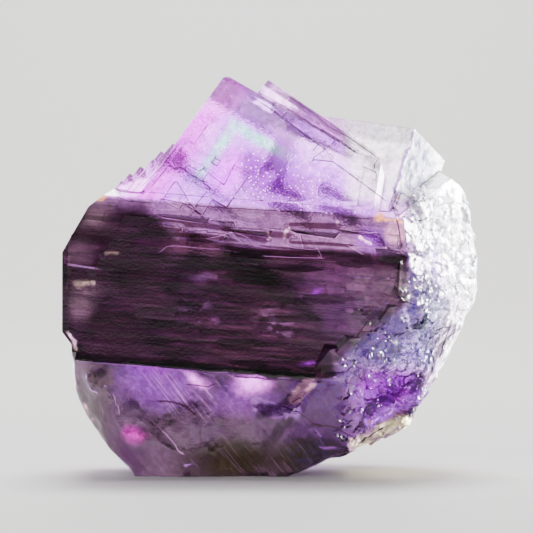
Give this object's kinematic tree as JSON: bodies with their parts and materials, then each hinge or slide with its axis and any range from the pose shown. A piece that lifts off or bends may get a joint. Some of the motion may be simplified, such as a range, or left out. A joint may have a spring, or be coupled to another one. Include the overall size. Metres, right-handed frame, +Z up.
{
  "type": "fluorite specimen",
  "caption": "Cube-cornered cluster of translucent purple fluorite, with a stepped cleavage ledge across its front, that rests on a flat foot.",
  "frame": {"origin": "under the middle of the specimen's bounding box, on the surface it stands on", "axes": "+Z up, +X to the right across the front, +Y away from the viewer, through the specimen from its ledge to its back"},
  "size_m": [0.0594, 0.0358, 0.0575],
  "materials": {
    "fluorite": "clear purple crystal, glassy on its faces, duller where it is broken"
  },
  "bodies": {
    "root": {"fluorite": "fluorite"}
  },
  "joints": []
}
